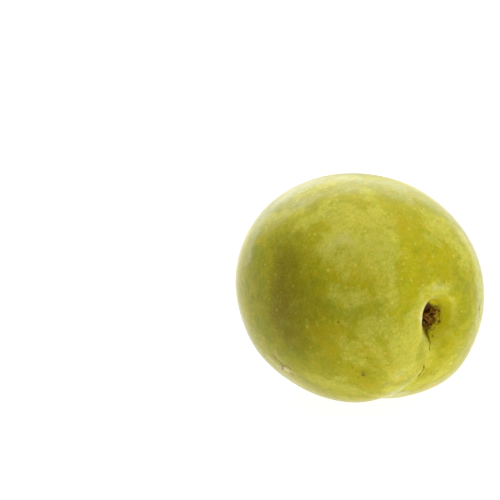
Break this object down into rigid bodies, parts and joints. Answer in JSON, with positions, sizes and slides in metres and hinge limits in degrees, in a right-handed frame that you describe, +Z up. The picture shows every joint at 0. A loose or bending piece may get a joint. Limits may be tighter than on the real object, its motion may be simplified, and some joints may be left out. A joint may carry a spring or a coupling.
{
  "type": "plum",
  "caption": "Whole green-gold plum without its stalk, lying on its side, with a suture groove and a corky stalk scar in its hollow.",
  "frame": {"origin": "on the surface that the plum rests on, under the middle of its bounding box", "axes": "+X along the stalk axis towards the stalk end, +Z up, +Y towards the cheek on the far side of the suture"},
  "size_m": [0.0484, 0.0424, 0.0403],
  "materials": {
    "skin": "satin waxy fruit skin, yellow-green with golden patches, pale dots and a thin whitish bloom",
    "stalk_cork": "dry torn cork, matte brown"
  },
  "bodies": {
    "root": {"fruit": "skin", "stalk_scar": "stalk_cork"}
  },
  "joints": []
}
